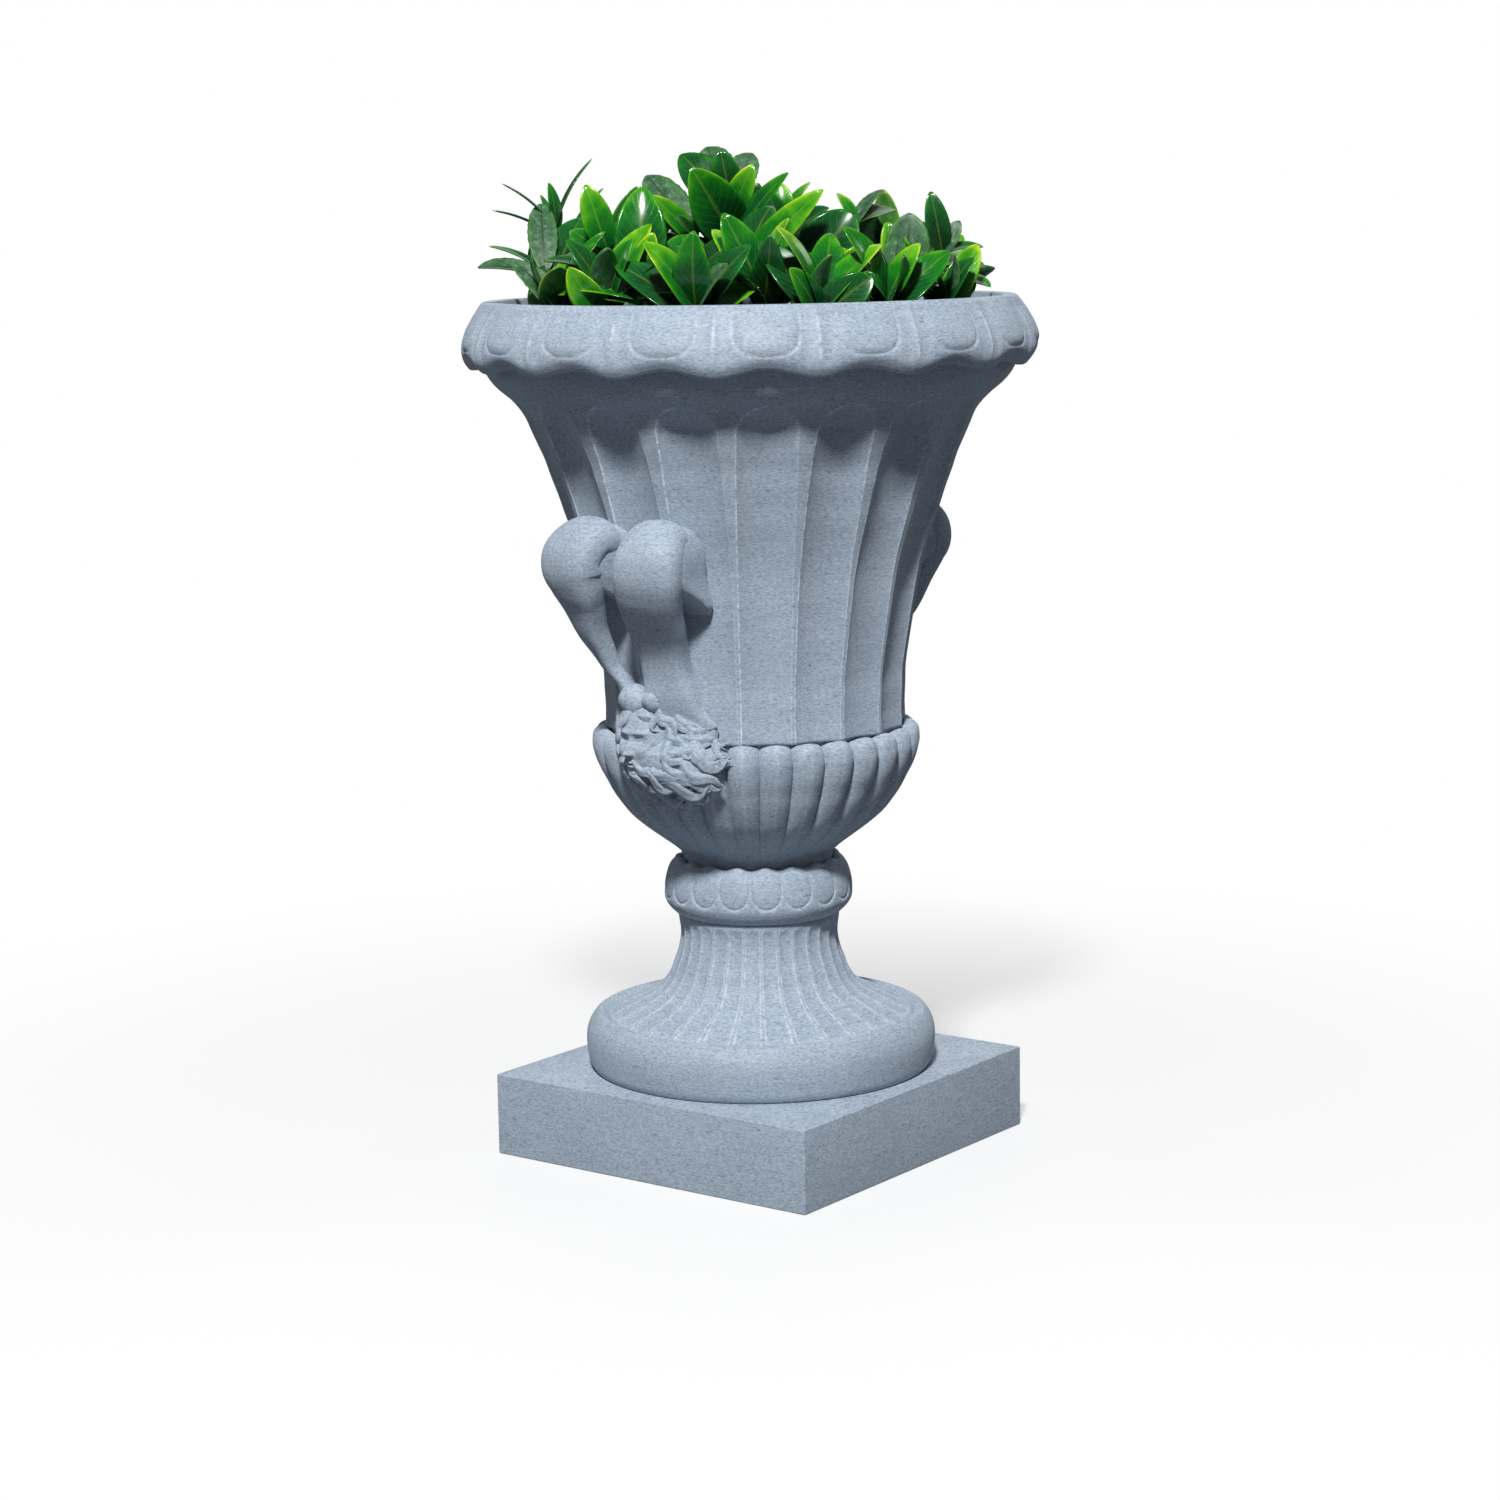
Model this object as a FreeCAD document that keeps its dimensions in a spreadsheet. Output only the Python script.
import FreeCAD
import Part
import Sketcher
import math
import os

Vector = FreeCAD.Vector
UP = Vector(0, 0, 1)

# Driving sizes in millimetres, angles in degrees, counts as plain numbers
SIZES = (
    # Plinth and the sunk seats that locate one printed section on the next
    ("plinth_side", 134.2), ("plinth_height", 29), ("fit_gap", 0.15), ("seat_gap", 0.3),
    ("spigot_r", 40), ("spigot_depth", 4),
    # Half-round base ring
    ("ring_height", 20), ("ring_r", 62.2), ("ring_waist", 10), ("ring_foot_r", 59.5),
    ("ring_crest_r", 57), ("ring_lip", 2), ("ring_land_r", 54.4), ("ring_seat_r", 50.2),
    ("ring_seat_depth", 6), ("ring_bore_r", 30),
    # Fluted foot
    ("foot_height", 37.3), ("foot_r", 54), ("foot_waist_r", 27.8), ("foot_count", 30),
    ("foot_flute", 1.1), ("foot_peg_r", 18), ("foot_peg", 8), ("foot_cavity_r", 15),
    # Collar
    ("collar_height", 19.7), ("collar_r", 33.4), ("collar_under_r", 29), ("collar_count", 18),
    ("collar_relief", 0.9), ("collar_recess", 7), ("collar_turn", 1.5),
    # Gadrooned bowl
    ("bowl_height", 47.5), ("neck_r", 26.4), ("lip_r", 57.7), ("lobe_count", 30), ("lobe_depth", 3.2),
    ("bowl_wall", 3.2), ("bowl_floor", 9), ("lower_turn", 7.7),
    # Fluted bell
    ("bell_height", 126.5), ("bell_foot_r", 52.7), ("bell_top_r", 98), ("flute_count", 18),
    ("flute_depth", 2.6), ("bell_skirt_r", 50.8), ("bell_inset", 8.5), ("bell_wall", 4.4), ("bell_turn", 0.6),
    # Rim ring
    ("rim_height", 22), ("rim_r", 100.7), ("rim_top_r", 91.4), ("mouth_r", 87.2), ("egg_relief", 2.2),
    ("rim_turn", -0.2),
    # Mask and its two horns
    ("handle_turn", -3.3), ("head_height", 30), ("head_width", 25), ("head_depth", 18),
    ("horn_reach", 77.5), ("horn_width", 25), ("horn_thickness", 14),
    # Planting
    ("plug_height", 20), ("plug_top_drop", 12), ("foliage_reach", 100), ("leaf_thickness", 0.8),
    ("stem_r", 1.1), ("stem_sink", 12), ("view_turn", -53.3),
)

# Outlines as shares: height share, then share of the way from the narrow radius to the wide one
FOOT_SHARES = ((0, 1), (0.06, 0.86), (0.14, 0.6), (0.21, 0.41), (0.295, 0.28), (0.36, 0.214), (0.42, 0.156),
               (0.52, 0.1), (0.62, 0.046), (0.8, 0), (0.94, 0.019), (1, 0.027))
COLLAR_SHARES = ((0, 0), (0.09, 0.34), (0.19, 0.8), (0.29, 1), (0.44, 1), (0.7, 0.8), (0.9, 0.46), (1, 0.1))
BOWL_SHARES = ((0, 0), (0.042, 0), (0.09, 0.07), (0.18, 0.262), (0.27, 0.444), (0.36, 0.594), (0.45, 0.706),
               (0.54, 0.799), (0.63, 0.866), (0.72, 0.933), (0.8, 0.978), (0.916, 1), (0.968, 0.965), (1, 0.9))
BELL_SHARES = ((0, 0), (0.1, 0.007), (0.2, 0.03), (0.3, 0.073), (0.4, 0.125), (0.5, 0.19), (0.6, 0.285),
               (0.7, 0.382), (0.78, 0.47), (0.86, 0.56), (0.9, 0.645), (0.94, 0.79), (0.97, 0.905), (1, 1))
RIM_SHARES = ((0, 0.71), (0.09, 0.82), (0.2, 0.97), (0.3, 1), (0.5, 0.87), (0.68, 0.66), (0.86, 0.36), (1, 0))

# How deep the relief is at each of those heights, as shares of its full depth
FOOT_RELIEF_SHARES = (1, 1, 0.95, 0.9, 0.85, 0.8, 0.75, 0.75, 0.75, 0.7, 0.4, 0)
COLLAR_RELIEF_SHARES = (0, 0.3, 1, 1, 1, 1, 0.8, 0)
BOWL_RELIEF_SHARES = (0, 0, 0, 0.12, 0.3, 0.5, 0.7, 0.85, 0.95, 1, 1, 1, 1, 1)
BELL_RELIEF_SHARES = (0.6, 0.62, 0.65, 0.7, 0.75, 0.8, 0.85, 0.9, 0.95, 1, 0.85, 0, 0, 0)
RIM_RELIEF_SHARES = (0, 0.5, 1, 1, 1, 0.9, 0.45, 0)
POINTS_PER_RELIEF = 8

document = FreeCAD.newDocument("flower_pot")
sheet = document.addObject("Spreadsheet::Sheet", "Sizes")
for row, (name, value) in enumerate(SIZES, start=1):
    sheet.set("A%d" % row, name)
    sheet.set("B%d" % row, str(value))
    sheet.setAlias("B%d" % row, name)
document.recompute()


def size(words):
    """Value of a sum of named sizes, such as "plinth_height + ring_height - ring_lip"."""
    total = 0.0
    sign = 1
    for word in words.split():
        if word in "+-":
            sign = 1 if word == "+" else -1
        else:
            total += sign * sheet.get(word)
    return total


def binding(words):
    """The same sum as an expression that follows the spreadsheet."""
    return " ".join(word if word in "+-" else "Sizes." + word for word in words.split())


# Heights where one section stands on the next
FOOT_BASE = "plinth_height + ring_height - ring_lip"
COLLAR_BASE = FOOT_BASE + " + foot_height"
NECK_BASE = COLLAR_BASE + " + collar_height - collar_recess"
COLLAR_TOP = COLLAR_BASE + " + collar_height"
LIP_TOP = COLLAR_TOP + " + bowl_height"
BELL_BASE = LIP_TOP + " - bell_inset"
RIM_BASE = LIP_TOP + " + bell_height"
RIM_TOP = RIM_BASE + " + rim_height"


def plane(body, role):
    """One of a body's own origin planes."""
    return [item for item in body.Origin.OriginFeatures if item.Role == role][0]


def new_body(label):
    body = document.addObject("PartDesign::Body", label)
    body.Label = label
    return body


def new_sketch(body, name, role):
    sketch = body.newObject("Sketcher::SketchObject", name)
    sketch.AttachmentSupport = [(plane(body, role), "")]
    sketch.MapMode = "FlatFace"
    return sketch


def bind_point(sketch, geometry, position, across, upward):
    """Ties one vertex to two sums of named sizes, measured from the sketch's origin."""
    for kind, words in (("DistanceX", across), ("DistanceY", upward)):
        index = sketch.addConstraint(
            Sketcher.Constraint(kind, -1, 1, geometry, position, size(words)))
        sketch.setExpression("Constraints[%d]" % index, binding(words))


def turned_body(label, outline):
    """A body turned about the urn's axis. An outline entry is a corner (radius, height); an entry with
    four words is an arc through its first pair that ends at its second pair."""
    body = new_body(label)
    sketch = new_sketch(body, label + "_outline", "XZ_Plane")
    corners = [(entry[-2], entry[-1]) for entry in outline]
    for index, entry in enumerate(outline):
        start = corners[index - 1]
        begin = Vector(size(start[0]), size(start[1]), 0)
        finish = Vector(size(entry[-2]), size(entry[-1]), 0)
        if len(entry) == 4:
            through = Vector(size(entry[0]), size(entry[1]), 0)
            sketch.addGeometry(Part.Arc(begin, through, finish), False)
        else:
            sketch.addGeometry(Part.LineSegment(begin, finish), False)
    for index, entry in enumerate(outline):
        if len(entry) == 2:
            bind_point(sketch, index, 2, *corners[index])
    revolution = body.newObject("PartDesign::Revolution", label + "_turned")
    revolution.Profile = sketch
    revolution.ReferenceAxis = (sketch, ["V_Axis"])
    revolution.Angle = 360
    document.recompute()
    return body


def turned_solid(points):
    """A plain solid of revolution through (radius, height) points, for cutting and trimming."""
    corners = [Vector(radius, 0, height) for radius, height in points]
    face = Part.Face(Part.makePolygon(corners + corners[:1]))
    return face.revolve(Vector(0, 0, 0), UP, 360)


def relief_radius(kind, share):
    """Depth share of one ornament at a place across it: -1 and 1 are its two ends, 0 its middle."""
    place = abs(share)
    if kind == "flute":
        return max(0.0, 1 - (place / 0.86) ** 2)
    if kind == "ridge":
        return (1 - place) ** 0.7 if place > 0.12 else 0.92
    if kind == "lobe":
        return place ** 3
    return math.exp(-((place - 0.68) / 0.16) ** 2)


def ornament_wire(height, radius, depth, count, kind, turn):
    """One closed level curve whose radius dips by the ornament's depth, repeated count times."""
    steps = int(count) * POINTS_PER_RELIEF
    points = []
    for step in range(steps):
        share = 2 * ((step % POINTS_PER_RELIEF) / POINTS_PER_RELIEF) - 1
        angle = 2 * math.pi * (step / steps) + math.radians(turn) + math.pi / count
        reach = radius - depth * relief_radius(kind, share)
        points.append(Vector(reach * math.cos(angle), reach * math.sin(angle), height))
    curve = Part.BSplineCurve()
    curve.interpolate(Points=points, PeriodicFlag=True)
    return Part.Wire(curve.toShape())


def ornament_solid(shares, relief_shares, base, height, narrow, wide, depth, count, kind, turn):
    """Lofts the level curves of one ornamented wall into a closed solid."""
    wires = []
    for (up_share, out_share), relief_share in zip(shares, relief_shares):
        radius = narrow + (wide - narrow) * out_share
        wires.append(ornament_wire(base + height * up_share, radius, depth * relief_share, count, kind, turn))
    return Part.makeLoft(wires, True, False)


def outline_radius(shares, share, narrow, wide):
    """Radius of a share outline at one height share, by straight interpolation."""
    for (low, low_out), (high, high_out) in zip(shares, shares[1:]):
        if low <= share <= high:
            return narrow + (wide - narrow) * (low_out + (high_out - low_out) * (share - low) / (high - low))
    return narrow + (wide - narrow) * shares[-1][1]


def add_piece(label, shape, turn=0.0):
    """Puts a finished shape into the document under its own name."""
    piece = document.addObject("Part::Feature", label)
    piece.Label = label
    piece.Shape = shape
    piece.Placement = FreeCAD.Placement(Vector(0, 0, 0), FreeCAD.Rotation(UP, turn))
    return piece


# Plinth: a square slab with a round seat sunk in its top
def build_plinth():
    body = new_body("plinth")
    sketch = new_sketch(body, "plinth_square", "XY_Plane")
    half = size("plinth_side") / 2
    corners = [Vector(-half, -half, 0), Vector(half, -half, 0), Vector(half, half, 0), Vector(-half, half, 0)]
    for index in range(4):
        sketch.addGeometry(Part.LineSegment(corners[index], corners[(index + 1) % 4]), False)
    for index in range(4):
        sketch.addConstraint(Sketcher.Constraint("Coincident", index, 2, (index + 1) % 4, 1))
    for index, kind in enumerate(("Horizontal", "Vertical", "Horizontal", "Vertical")):
        sketch.addConstraint(Sketcher.Constraint(kind, index))
    sketch.addConstraint(Sketcher.Constraint("Symmetric", 0, 1, 1, 2, -1, 1))
    for kind, edge in (("DistanceX", 0), ("DistanceY", 1)):
        index = sketch.addConstraint(Sketcher.Constraint(kind, edge, 1, edge, 2, 2 * half))
        sketch.setExpression("Constraints[%d]" % index, "Sizes.plinth_side")
    slab = body.newObject("PartDesign::Pad", "plinth_slab")
    slab.Profile = sketch
    slab.setExpression("Length", "Sizes.plinth_height")
    document.recompute()
    circle = new_sketch(body, "plinth_seat_circle", "XY_Plane")
    circle.AttachmentOffset = FreeCAD.Placement(Vector(0, 0, size("plinth_height")), FreeCAD.Rotation())
    circle.setExpression("AttachmentOffset.Base.z", "Sizes.plinth_height")
    seat_r = size("spigot_r + fit_gap")
    circle.addGeometry(Part.Circle(Vector(0, 0, 0), UP, seat_r), False)
    circle.addConstraint(Sketcher.Constraint("Coincident", 0, 3, -1, 1))
    index = circle.addConstraint(Sketcher.Constraint("Radius", 0, seat_r))
    circle.setExpression("Constraints[%d]" % index, binding("spigot_r + fit_gap"))
    seat = body.newObject("PartDesign::Pocket", "plinth_seat")
    seat.Profile = circle
    seat.setExpression("Length", "Sizes.spigot_depth")
    document.recompute()
    return body


# Base ring: half-round outside, a spigot below and a seat for the foot above
def build_base_ring():
    ring_top = "plinth_height + ring_height"
    seat_floor = FOOT_BASE + " - ring_seat_depth"
    spigot_floor = "plinth_height - spigot_depth"
    return turned_body("base_ring", (
        ("ring_bore_r", spigot_floor),
        ("spigot_r", spigot_floor),
        ("spigot_r", "plinth_height"),
        ("ring_foot_r", "plinth_height"),
        ("ring_r", "plinth_height + ring_waist", "ring_crest_r", ring_top),
        ("ring_land_r", FOOT_BASE),
        ("ring_seat_r", FOOT_BASE),
        ("ring_seat_r", seat_floor),
        ("ring_bore_r", seat_floor),
    ))


# Foot: a flaring fluted trumpet with a plug below and a peg above
def build_foot():
    base = size(FOOT_BASE)
    height = size("foot_height")
    trumpet = ornament_solid(FOOT_SHARES, FOOT_RELIEF_SHARES, base, height, size("foot_waist_r"), size("foot_r"),
                             size("foot_flute"), size("foot_count"), "ridge", size("lower_turn"))
    depth = size("ring_seat_depth")
    plug = Part.makeCylinder(size("ring_seat_r - fit_gap"), depth, Vector(0, 0, base - depth))
    peg = Part.makeCylinder(size("foot_peg_r"), size("foot_peg"), Vector(0, 0, base + height))
    cavity = Part.makeCylinder(size("foot_cavity_r"), depth + height - size("foot_peg"),
                               Vector(0, 0, base - depth))
    return add_piece("fluted_foot", trumpet.fuse([plug, peg]).removeSplitter().cut(cavity))


# Collar: a ring of U-shaped eggs with a cup for the bowl's neck
def build_collar():
    base = size(COLLAR_BASE)
    height = size("collar_height")
    ring = ornament_solid(COLLAR_SHARES, COLLAR_RELIEF_SHARES, base, height, size("collar_under_r"),
                          size("collar_r"), size("collar_relief"), size("collar_count"), "egg", size("collar_turn"))
    socket = Part.makeCylinder(size("foot_peg_r + fit_gap"), size("foot_peg + fit_gap"), Vector(0, 0, base))
    cup = Part.makeCylinder(size("neck_r") + size("seat_gap"), size("collar_recess"), Vector(0, 0, size(NECK_BASE)))
    return add_piece("egg_collar", ring.cut(socket).cut(cup))


# Bowl: thirty convex lobes outside, plain inside, with a ledge that carries the bell
def build_bowl():
    base = size(COLLAR_TOP)
    height = size("bowl_height")
    narrow = size("neck_r")
    wide = size("lip_r")
    lobes = ornament_solid(BOWL_SHARES, BOWL_RELIEF_SHARES, base, height, narrow, wide, size("lobe_depth"),
                           size("lobe_count"), "lobe", size("lower_turn"))
    neck = Part.makeCylinder(narrow, size("collar_recess"), Vector(0, 0, size(NECK_BASE)))
    inset = size("lobe_depth + bowl_wall")
    ledge = base + height - size("bell_inset")
    floor = base + size("bowl_floor")
    inside = [(0, floor)]
    for up_share, out_share in BOWL_SHARES:
        level = base + height * up_share
        reach = narrow + (wide - narrow) * out_share - inset
        if floor < level < ledge:
            inside.append((reach, level))
    rest_r = size("bell_foot_r - bell_wall")
    seat_r = size("bell_skirt_r + fit_gap")
    inside[1] = (inside[1][0], floor)
    inside += [(min(inside[-1][0], rest_r), ledge), (seat_r, ledge), (seat_r, base + height), (0, base + height)]
    return add_piece("gadrooned_bowl", lobes.fuse(neck).removeSplitter().cut(turned_solid(inside)))


def bell_inside():
    """Inner outline of the bell from its open foot to the rim, clear of the deepest flute."""
    base = size(LIP_TOP)
    height = size("bell_height")
    narrow = size("bell_foot_r")
    wide = size("bell_top_r")
    wall = size("bell_wall")
    points = [(narrow - wall, size(BELL_BASE))]
    for low, high in zip(BELL_SHARES[1:], BELL_SHARES[2:]):
        rise = (high[0] - low[0]) * height
        run = (high[1] - low[1]) * (wide - narrow)
        reach = narrow + (wide - narrow) * low[1] - wall * math.hypot(rise, run) / rise
        if low[0] <= BELL_SHARES[9][0]:
            points.append((reach, base + height * low[0]))
    points.append((size("mouth_r"), base + height))
    return points


# Bell: eighteen round-headed flutes outside, open from end to end
def build_bell():
    base = size(LIP_TOP)
    height = size("bell_height")
    wall = ornament_solid(BELL_SHARES, BELL_RELIEF_SHARES, base, height, size("bell_foot_r"), size("bell_top_r"),
                          size("flute_depth"), size("flute_count"), "flute", size("bell_turn"))
    skirt = Part.makeCylinder(size("bell_skirt_r"), size("bell_inset"), Vector(0, 0, size(BELL_BASE)))
    inside = bell_inside()
    hollow = turned_solid([(0, inside[0][1])] + inside + [(0, inside[-1][1])])
    return add_piece("fluted_bell", wall.fuse(skirt).cut(hollow))


# Rim: eighteen eggs with a dart between each two, over a plain round mouth
def build_rim():
    base = size(RIM_BASE)
    height = size("rim_height")
    ring = ornament_solid(RIM_SHARES, RIM_RELIEF_SHARES, base, height, size("rim_top_r"), size("rim_r"),
                          size("egg_relief"), size("flute_count"), "egg", size("rim_turn"))
    mouth = Part.makeCylinder(size("mouth_r"), height, Vector(0, 0, base))
    return add_piece("egg_rim", ring.cut(mouth))


def seat_envelope():
    """The bell and bowl as one plain turned solid, a seat gap larger, that trims what is fixed to them."""
    gap = size("seat_gap")
    points = [(0, size(COLLAR_TOP))]
    for shares, base, height, narrow, wide in (
            (BOWL_SHARES, COLLAR_TOP, "bowl_height", "neck_r", "lip_r"),
            (BELL_SHARES, LIP_TOP, "bell_height", "bell_foot_r", "bell_top_r")):
        for up_share, out_share in shares:
            radius = size(narrow) + (size(wide) - size(narrow)) * out_share
            points.append((radius + gap, size(base) + size(height) * up_share))
    points.append((0, size(RIM_BASE)))
    lip = (size("lip_r") + gap, size(LIP_TOP) + gap)
    points[len(BOWL_SHARES)] = lip
    points[len(BOWL_SHARES) + 1] = (size("bell_foot_r") + gap, lip[1])
    return turned_solid(points)


# Mask: rounded masses placed about the urn's axis. Columns are the turn in degrees, then shares of the
# head's size: height above its middle, how far it stands out of the bell, half depth, half width,
# half height, and the lean in degrees
MASK_MASSES = (
    (-3.3, -0.02, 0.42, 0.5, 0.46, 0.5, 0),
    (-6.8, 0.5, 0.6, 0.3, 0.25, 0.19, 0),
    (2.1, 0.51, 0.52, 0.28, 0.2, 0.155, 0),
    (-3, 0.38, 0.5, 0.4, 0.48, 0.14, 0),
    (-13, 0.2, 0.3, 0.3, 0.17, 0.3, 0),
    (8.5, 0.36, 0.4, 0.36, 0.32, 0.2, -30),
    (14.5, 0.14, 0.36, 0.36, 0.38, 0.22, -38),
    (23.5, -0.12, 0.2, 0.28, 0.34, 0.12, -28),
    (-3.3, 0.14, 0.86, 0.18, 0.34, 0.07, 0),
    (-3.3, -0.04, 1.02, 0.2, 0.09, 0.17, 0),
    (0, -0.32, 0.5, 0.42, 0.46, 0.24, -22),
    (9, -0.26, 0.45, 0.4, 0.42, 0.22, -28),
    (17, -0.26, 0.32, 0.34, 0.42, 0.15, -32),
    (20, -0.46, 0.16, 0.26, 0.34, 0.11, -10),
    (9, -0.58, 0.12, 0.3, 0.42, 0.13, -12),
    (-8.5, -0.46, 0.24, 0.3, 0.26, 0.2, -35),
)


def build_mask(envelope):
    """The masses fused into one head and trimmed to sit on the bowl's lip and the bell."""
    middle = size(LIP_TOP)
    wall = size("bell_foot_r")
    height = size("head_height")
    width = size("head_width")
    depth = size("head_depth")
    masses = []
    for turn, up_share, out_share, deep, wide, tall, lean in MASK_MASSES:
        mass = Part.makeSphere(1)
        matrix = FreeCAD.Matrix()
        matrix.scale(deep * depth, wide * width, tall * height)
        mass = mass.transformGeometry(matrix)
        mass.rotate(Vector(0, 0, 0), Vector(1, 0, 0), lean)
        mass.translate(Vector(wall + out_share * depth / 2, 0, middle + up_share * height))
        mass.rotate(Vector(0, 0, 0), UP, turn)
        masses.append(mass)
    return masses[0].fuse(masses[1:]).cut(envelope)


# Horn: a stem that climbs off the mask and rolls over, and a solid head between its curl and the bell. Columns
# are the turn in degrees, radius as a share of the reach, height share, half width share, half thickness share.
# The near stem rises broad from the swept hair, the far one narrow from the knot; a head's sections are level
NEAR_STEM_SHARES = (
    (8.2, 0.703, 0.017, 0.8, 0.69), (7.2, 0.712, 0.138, 0.72, 0.69), (7.2, 0.743, 0.267, 0.74, 0.66),
    (7.8, 0.79, 0.37, 0.8, 0.63), (8.9, 0.845, 0.461, 0.86, 0.66), (9.9, 0.899, 0.551, 0.89, 0.74),
    (11, 0.947, 0.654, 0.94, 0.9), (12.1, 0.975, 0.766, 0.98, 1.06), (12.6, 0.97, 0.864, 0.94, 1.13),
    (12.9, 0.91, 0.936, 0.85, 1.16), (13.4, 0.845, 0.904, 0.76, 0.93),
)
FAR_STEM_SHARES = (
    (11.5, 0.699, -0.052, 0.21, 0.37), (12.6, 0.723, 0.065, 0.2, 0.4), (14.8, 0.769, 0.164, 0.21, 0.41),
    (15.5, 0.815, 0.284, 0.31, 0.53), (15.7, 0.858, 0.382, 0.44, 0.63), (15, 0.916, 0.558, 0.71, 0.77),
    (14.2, 0.957, 0.671, 0.9, 0.93), (14, 0.981, 0.775, 1.02, 1.04), (13, 0.973, 0.864, 1.02, 1.1),
    (11.4, 0.914, 0.936, 0.92, 1.14), (11.4, 0.845, 0.904, 0.8, 0.93),
)
NEAR_HEAD_SHARES = (
    (14.5, 0.723, 0.509, 0.75, 0.21), (14, 0.743, 0.551, 0.9, 0.49), (13.6, 0.772, 0.594, 0.94, 0.79),
    (13.2, 0.805, 0.637, 0.95, 1.17), (12.9, 0.834, 0.68, 0.96, 1.47), (12.7, 0.858, 0.74, 0.96, 1.71),
    (12.7, 0.863, 0.809, 0.96, 1.77), (12.8, 0.861, 0.878, 0.93, 1.67), (12.9, 0.858, 0.938, 0.85, 1.43),
    (13, 0.858, 0.99, 0.72, 1), (13, 0.858, 1.024, 0.52, 0.57),
)
FAR_HEAD_SHARES = (
    (15, 0.723, 0.509, 0.7, 0.21), (15, 0.743, 0.551, 0.79, 0.49), (14.8, 0.772, 0.594, 0.83, 0.79),
    (14.5, 0.805, 0.637, 0.87, 1.17), (14.3, 0.834, 0.68, 0.91, 1.47), (14.1, 0.858, 0.74, 0.98, 1.71),
    (13.8, 0.863, 0.809, 1, 1.77), (13.2, 0.861, 0.878, 0.98, 1.67), (12.4, 0.858, 0.938, 0.9, 1.43),
    (11.8, 0.858, 0.99, 0.75, 1), (11.5, 0.858, 1.024, 0.54, 0.57),
)
HORN_RISE_SHARE = 0.75
HORN_POINTS = 16
STEM_CORNER_SHARE = 0.75
HEAD_CORNER_SHARE = 0.6


def horn_loft(sections, corner_share, level):
    """Rounded rectangles, level or square to the path, joined by a loft on the far side of the handle's middle."""
    foot = size(LIP_TOP) + HORN_RISE_SHARE * size("head_height") - size("horn_thickness") / 2
    rise = size("horn_reach") * HORN_RISE_SHARE
    centres = []
    for turn, out_share, up_share, _, _ in sections:
        angle = -math.radians(turn)
        reach = out_share * size("horn_reach")
        centres.append(Vector(reach * math.cos(angle), reach * math.sin(angle), foot + up_share * rise))
    wires = []
    for index, (turn, _, _, wide, thick) in enumerate(sections):
        ahead = centres[min(index + 1, len(centres) - 1)]
        behind = centres[max(index - 1, 0)]
        along = UP if level else (ahead - behind).normalize()
        angle = -math.radians(turn)
        across = Vector(-math.sin(angle), math.cos(angle), 0)
        across = (across - along * across.dot(along)).normalize()
        outward = along.cross(across)
        points = []
        for step in range(HORN_POINTS):
            swing = 2 * math.pi * step / HORN_POINTS
            sideways, outwards = [math.copysign(abs(part) ** corner_share, part)
                                  for part in (math.cos(swing), math.sin(swing))]
            points.append(centres[index] + across * (sideways * wide * size("horn_width") / 2)
                          + outward * (outwards * thick * size("horn_thickness") / 2))
        curve = Part.BSplineCurve()
        curve.interpolate(Points=points, PeriodicFlag=True)
        wires.append(Part.Wire(curve.toShape()))
    return Part.makeLoft(wires, True, False)


def build_horn(stem_shares, head_shares, envelope, mask, flip):
    """A stem seated on the mask and a head seated in the bell, fused; the near horn is flipped across."""
    stem = horn_loft(stem_shares, STEM_CORNER_SHARE, False)
    head = horn_loft(head_shares, HEAD_CORNER_SHARE, True)
    if flip:
        stem = stem.mirror(Vector(0, 0, 0), Vector(0, 1, 0))
        head = head.mirror(Vector(0, 0, 0), Vector(0, 1, 0))
    return stem.cut(envelope).cut(mask).fuse(head.cut(envelope))


def build_handles():
    """Two equal handles half a turn apart, each a mask and two horns."""
    envelope = seat_envelope()
    mask = build_mask(envelope)
    horns = {"near": build_horn(NEAR_STEM_SHARES, NEAR_HEAD_SHARES, envelope, mask, True),
             "far": build_horn(FAR_STEM_SHARES, FAR_HEAD_SHARES, envelope, mask, False)}
    pieces = []
    for name, turn in (("left", 180), ("right", 0)):
        whole_turn = turn + size("handle_turn")
        pieces.append(add_piece("mask_" + name, mask, whole_turn))
        for side, horn in horns.items():
            pieces.append(add_piece("horn_%s_%s" % (name, side), horn, whole_turn))
    return pieces


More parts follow.
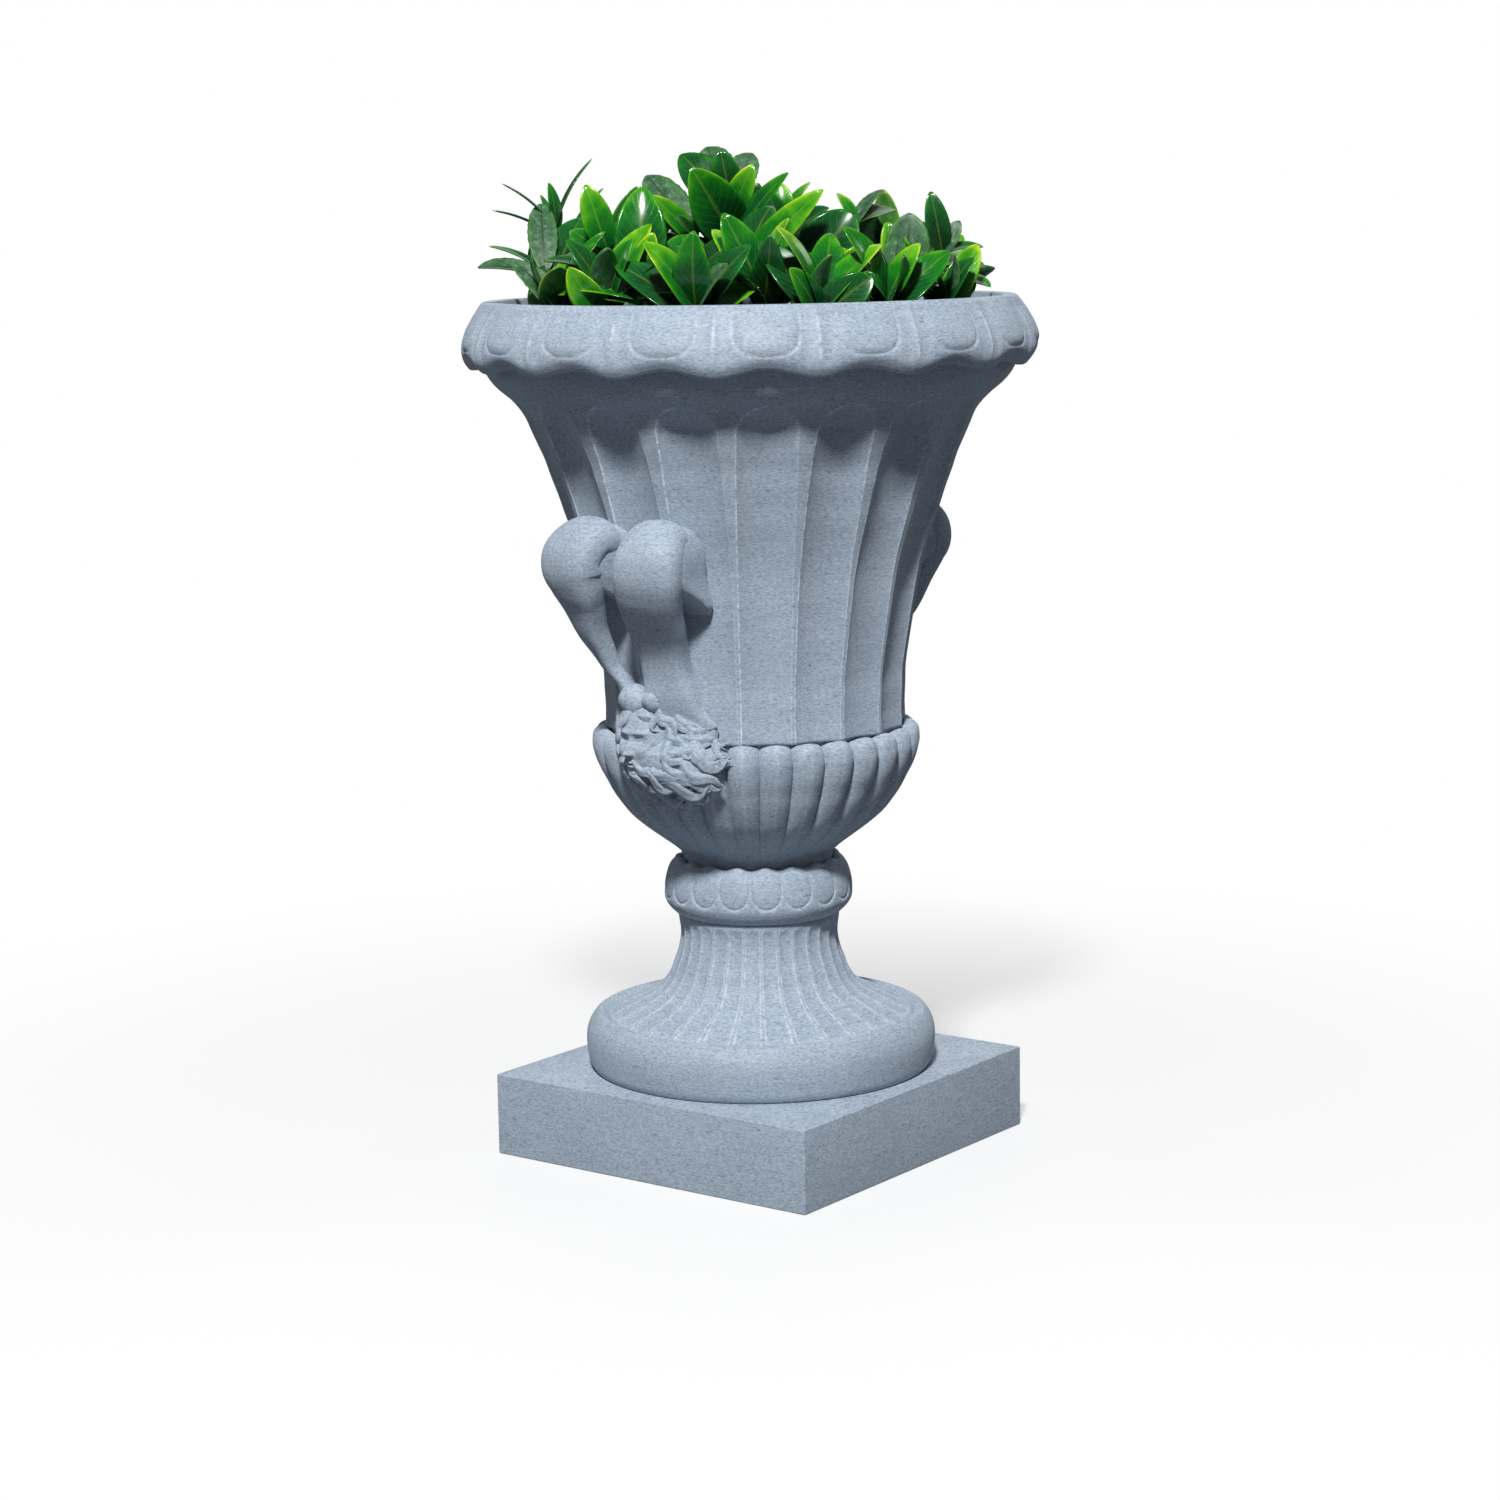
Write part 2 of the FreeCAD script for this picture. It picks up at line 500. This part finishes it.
# Planting, in hundredths of its reach, as seen from the front: across to the right, towards the front and
# up from the rim. Each sprig has its foot (across, towards), its crown, and leaves that leave the stem at a
# share of its length: share, tip across, tip towards, tip up, width, and how far its upper side turns from up
# towards the front, in degrees
SPRIGS = (
    ("sprig_needles", (-58, 8), (-66, 6, 24), (
        (1, -84, 5, 40, 3, 0), (0.9, -87, 12, 31, 3, 0), (1, -53, 0, 48, 3, 0), (1, -68, 3, 40, 5, 0),
        (0.8, -72, -14, 36, 3, 0), (0.7, -50, -12, 38, 3, 0))),
    ("sprig_left_low", (-58, 26), (-70, 22, 12), (
        (0.8, -91, 30, 12, 12, 20), (0.9, -88, 18, 19, 5, 10), (0.9, -71, 2, 33, 10, 40), (0.7, -57, 6, 28, 13, 30),
        (0.5, -74, 42, 6, 11, 10))),
    ("sprig_left_front", (-46, 42), (-49, 43, 11), (
        (0.9, -68, 46, 14, 11, 15), (1, -61, 36, 16, 9, 20), (0.6, -63, 52, 3, 12, 20), (0.8, -40, 58, 6, 10, 0))),
    ("sprig_left_tall", (-42, 30), (-47, 34, 17), (
        (1, -54, 35, 39, 10, 75), (0.7, -45, 22, 25, 9, 60), (0.8, -60, 20, 24, 10, 40))),
    ("sprig_broad", (-33, 46), (-36, 46, 7), (
        (1, -35, 40, 38, 17, 80), (0.8, -31, 55, 23, 10, 50), (0.7, -22, 34, 18, 11, 30))),
    ("sprig_rim_left", (-30, 64), (-33, 66, 4), (
        (0.8, -58, 60, 5, 13, 25), (0.6, -48, 66, 2, 12, 20), (0.7, -20, 74, 3, 11, 0))),
    ("sprig_mid_left", (-16, 46), (-20, 48, 6), (
        (0.9, -4, 60, 20, 15, 35), (1, -22, 30, 22, 14, 50), (0.9, -13, 70, 6, 12, 0), (0.5, -28, 60, 8, 9, 20))),
    ("sprig_back_left", (-14, 14), (-18, 12, 19), (
        (1, -33, 20, 35, 8, 55), (1, -35, -10, 42, 13, 60), (0.8, -24, 26, 28, 10, 40), (0.7, -34, 0, 22, 12, 20),
        (0.6, -4, 24, 20, 12, 0))),
    ("sprig_top", (-5, 4), (-6, 2, 34), (
        (1, -14, -12, 52, 13, 70), (1, -9, 6, 50, 10, 80), (1, 2, -6, 49, 11, 65), (0.9, -23, -8, 49, 15, 60),
        (0.85, 2, 9, 45, 9, 70), (0.7, -19, 20, 44, 18, 75), (0.6, 14, 16, 42, 8, 45), (0.6, -2, -28, 38, 13, 40))),
    ("sprig_middle", (-3, 38), (-3, 40, 13), (
        (0.7, 25, 50, 36, 11, 55), (1, -8, 46, 15, 9, 30), (0.8, 8, 14, 31, 12, 40), (1, -2, 42, 21, 5, 80),
        (0.8, 12, 30, 14, 12, 0), (0.6, 2, 66, 7, 11, 0))),
    ("sprig_back_right", (16, -6), (12, -8, 24), (
        (1, 11, -11, 39, 9, 60), (0.9, 7, -4, 36, 8, 70), (1, 22, -20, 39, 5, 0), (0.8, 28, -2, 30, 12, 30),
        (0.7, 18, -30, 26, 12, 20))),
    ("sprig_dark", (20, 34), (21, 36, 8), (
        (1, 35, 36, 29, 20, 65), (0.7, 27, 62, 11, 14, 20), (0.6, 8, 58, 6, 12, 20), (0.7, 34, 20, 20, 11, 20))),
    ("sprig_front_right", (32, 56), (34, 58, 4), (
        (1, 37, 60, 18, 13, 70), (0.8, 47, 58, 4, 11, 30), (0.7, 19, 68, 4, 12, 10))),
    ("sprig_right_back", (37, 4), (37, -2, 24), (
        (1, 51, -14, 29, 12, 20), (1, 47, -14, 36, 6, 0), (1, 31, -12, 35, 5, 0), (0.8, 44, 16, 27, 10, 30),
        (0.7, 30, -26, 24, 11, 10), (0.5, 52, -20, 16, 12, 10))),
    ("sprig_frosted", (52, 36), (52, 38, 7), (
        (1, 54, 38, 28, 15, 80), (0.9, 46, 38, 25, 10, 70), (0.8, 66, 44, 4, 10, 10), (0.6, 44, 56, 8, 11, 20))),
    ("sprig_right_tall", (60, 14), (66, 14, 14), (
        (1, 62, 15, 35, 8, 70), (1, 72, 14, 25, 6, 60), (1, 80, 14, 16, 7, 20), (0.8, 80, 22, 9, 10, 15),
        (0.6, 81, 32, 3, 11, 10), (0.7, 78, -6, 14, 10, 10))),
)

# Plain sprigs along the front edge, at the back and between the others: foot (across, towards), crown height,
# leaf count, first turn in degrees, leaf length, lean share of the first leaf. Their leaves turn from up towards
# the nearest edge of the pot
ROSETTES = (
    ("sprig_rear_left", (-46, -34), 4, 8, 0, 30, 0.2),
    ("sprig_rear_middle", (-4, -50), 5, 8, 25, 30, 0.25),
    ("sprig_rear_right", (44, -38), 4, 8, 50, 28, 0.2),
    ("sprig_side_left", (-66, -14), 1, 8, 80, 25, 0.3),
    ("sprig_inner_left", (-34, -8), 6, 8, 110, 30, 0.2),
    ("sprig_inner_middle", (2, -25), 8, 8, 215, 30, 0.2),
    ("sprig_outer_left", (-28, -64), 1, 8, 10, 28, 0.3),
    ("sprig_outer_right", (24, -66), 1, 8, 60, 28, 0.3),
    ("sprig_side_right", (62, -14), 1, 8, 130, 22, 0.3),
    ("sprig_front_middle", (5, 62), 1, 8, 30, 27, 0.35),
    ("sprig_edge_left", (-62, 42), -2, 8, 0, 25, 0.5),
    ("sprig_edge_front_left", (-46, 60), -1, 8, 40, 28, 0.45),
    ("sprig_edge_middle_left", (-17, 75), -2, 8, 95, 27, 0.55),
    ("sprig_edge_middle_right", (22, 75), -2, 8, 150, 27, 0.5),
    ("sprig_edge_front_right", (45, 62), -1, 8, 10, 26, 0.5),
    ("sprig_edge_right", (64, 42), -2, 8, 60, 22, 0.45),
)
ROSETTE_LAST_LEAN_SHARE = 0.95
ROSETTE_GROWTH_SHARE = 0.18
ROSETTE_SLIM_SHARE = 0.42
ROSETTE_FACING = 40
ROSETTE_TWIST = 25
ROSETTE_REACH = 88
GOLDEN_TURN = 137.5

# Leaf outline: share of the length, half width share. The blade bows up and folds along its midrib
LEAF_SHARES = ((0, 0.1), (0.28, 0.86), (0.62, 0.84), (1, 0))
LEAF_BOW_SHARE = 0.07
LEAF_FOLD_SHARE = 0.28


def leaf_solid(base, tip, width, facing_turn, front):
    """A thin folded blade from base to tip, as a closed solid of flat facets. Its upper side turns from up
    towards the front by an angle in degrees."""
    length = (tip - base).Length
    along = (tip - base).normalize()
    turn = math.radians(facing_turn)
    facing = UP * math.cos(turn) + front * math.sin(turn)
    upward = (facing - along * facing.dot(along)).normalize()
    across = along.cross(upward)
    thickness = size("leaf_thickness")
    rings = []
    for share, half_share in LEAF_SHARES:
        half = half_share * width / 2
        bow = 4 * LEAF_BOW_SHARE * length * share * (1 - share)
        middle = base + along * (share * length) + upward * bow
        edge = upward * (half * LEAF_FOLD_SHARE)
        top = [middle - across * half + edge, middle, middle + across * half + edge]
        if half == 0:
            top = [middle]
        rings.append(top)
    drop = upward * -thickness
    faces = []

    def facet(*corners):
        faces.append(Part.Face(Part.makePolygon(list(corners) + [corners[0]])))

    for low, high in zip(rings, rings[1:]):
        for side in (0, 1):
            a, b = low[side], low[side + 1]
            if len(high) == 1:
                c = high[0]
                facet(a, b, c)
                facet(a + drop, c + drop, b + drop)
            else:
                c, d = high[side + 1], high[side]
                facet(a, b, c)
                facet(a, c, d)
                facet(a + drop, c + drop, b + drop)
                facet(a + drop, d + drop, c + drop)
        for edge_low, edge_high in ((low[0], high[0]), (low[-1], high[-1])):
            facet(edge_low, edge_high, edge_high + drop)
            facet(edge_low, edge_high + drop, edge_low + drop)
    start = rings[0]
    for side in (0, 1):
        facet(start[side], start[side + 1], start[side + 1] + drop)
        facet(start[side], start[side + 1] + drop, start[side] + drop)
    shell = Part.makeShell(faces)
    solid = Part.makeSolid(shell)
    if solid.Volume < 0:
        solid.reverse()
    return solid


def planting_point(across, towards, above):
    """A place in hundredths of the foliage's reach, seen from the front, as a point of the urn's frame."""
    unit = size("foliage_reach") / 100
    turn = math.radians(size("view_turn"))
    along_x = across * math.cos(turn) + towards * math.sin(turn)
    along_y = across * math.sin(turn) - towards * math.cos(turn)
    return Vector(along_x * unit, along_y * unit, size(RIM_TOP) + above * unit)


def rosette_leaves(crown, count, first_turn, length, first_lean):
    """Leaves of a plain sprig: each turns by the golden angle and leans further out than the last. Lengths
    and twists vary as a sine and a cosine of the leaf's number, and no leaf reaches past the rim."""
    leaves = []
    for index in range(count):
        turn = math.radians(first_turn + index * GOLDEN_TURN)
        lean = first_lean + (ROSETTE_LAST_LEAN_SHARE - first_lean) * index / (count - 1)
        grown = length * (1 + ROSETTE_GROWTH_SHARE * math.cos(2 * index + first_turn))
        facing_turn = ROSETTE_FACING + ROSETTE_TWIST * math.sin(3 * index + first_turn)
        across = crown[0] + grown * lean * math.cos(turn)
        towards = crown[1] + grown * lean * math.sin(turn)
        pull = min(1, ROSETTE_REACH / math.hypot(across, towards))
        share = 1 - 0.5 * index / count
        above = crown[2] * share + grown * math.sqrt(1 - lean * lean)
        leaves.append((share, across * pull, towards * pull, above, grown * ROSETTE_SLIM_SHARE, facing_turn))
    return leaves


def sprig_solid(foot, crown, leaves, outlook):
    """One sprig: a peg in the plug, a stem up to the crown, and its leaves, which look out one way."""
    unit = size("foliage_reach") / 100
    plug_top = size(RIM_TOP) - size("plug_top_drop")
    ground = planting_point(foot[0], foot[1], 0)
    ground.z = plug_top
    head = planting_point(*crown)
    front = (planting_point(*outlook, 0) - planting_point(0, 0, 0)).normalize()
    stem_r = size("stem_r")
    peg = Part.makeCylinder(stem_r, size("stem_sink") + stem_r, ground - UP * size("stem_sink"))
    knee = ground + UP * stem_r
    reach = head - knee
    parts = [Part.makeSphere(stem_r, knee), Part.makeCylinder(stem_r, reach.Length, knee, reach)]
    for share, across, towards, above, width, facing_turn in leaves:
        base = knee + reach * share
        tip = planting_point(across, towards, above)
        parts.append(leaf_solid(base, tip, width * unit, facing_turn, front))
    return peg.fuse(parts)


def build_planting():
    """The foam plug with a drilled hole for each sprig, and the sprigs, none crossing another."""
    plug_top = size(RIM_TOP) - size("plug_top_drop")
    plug_base = plug_top - size("plug_height")
    gap = size("seat_gap")
    inside = bell_inside()
    rim_base = size(RIM_BASE)
    last = [point for point in inside if point[1] < rim_base][-1]
    share = (plug_base - last[1]) / (rim_base - last[1])
    base_r = last[0] + (inside[-1][0] - last[0]) * share
    outline = [(0, plug_base), (base_r - 2 * gap, plug_base), (size("mouth_r") - gap, rim_base),
               (size("mouth_r") - gap, plug_top), (0, plug_top)]
    plug = turned_solid(outline)
    stem_r = size("stem_r")
    sink = size("stem_sink")
    guard = turned_solid([(size("mouth_r") - 2 * gap, plug_base), (size("rim_r") + sink, plug_base),
                          (size("rim_r") + sink, size(RIM_TOP) + gap), (size("mouth_r") - 2 * gap, size(RIM_TOP) + gap)])
    rows = [(name, foot, crown, leaves, (0, 1)) for name, foot, crown, leaves in SPRIGS]
    for name, foot, height, count, first_turn, length, first_lean in ROSETTES:
        crown = (foot[0], foot[1], height)
        rows.append((name, foot, crown, rosette_leaves(crown, count, first_turn, length, first_lean), foot))
    pieces = []
    placed = []
    for name, foot, crown, leaves, outlook in rows:
        ground = planting_point(foot[0], foot[1], 0)
        ground.z = plug_top - sink
        plug = plug.cut(Part.makeCylinder(stem_r + size("fit_gap"), sink, ground))
        sprig = sprig_solid(foot, crown, leaves, outlook).cut(guard)
        near = [other for other in placed if other.BoundBox.intersect(sprig.BoundBox)]
        if near:
            sprig = max(sprig.cut(near).Solids, key=lambda solid: solid.Volume)
        placed.append(sprig)
        pieces.append(add_piece(name, sprig))
    pieces.insert(0, add_piece("foam_plug", plug))
    return pieces


pieces = [build_plinth(), build_base_ring(), build_foot(), build_collar(), build_bowl(), build_bell(), build_rim()]
pieces += build_handles()
pieces += build_planting()
document.recompute()

for item in document.Objects:
    if "Invalid" in item.State or "Error" in item.State:
        raise RuntimeError("failed: " + item.Name)
for piece in pieces:
    if piece.Shape.isNull() or not piece.Shape.isValid():
        raise RuntimeError("bad shape: " + piece.Label)

os.makedirs("parts", exist_ok=True)
for piece in pieces:
    piece.Shape.exportStep("parts/%s.step" % piece.Label)
    print(piece.Label, "solids", len(piece.Shape.Solids), "volume", round(piece.Shape.Volume))
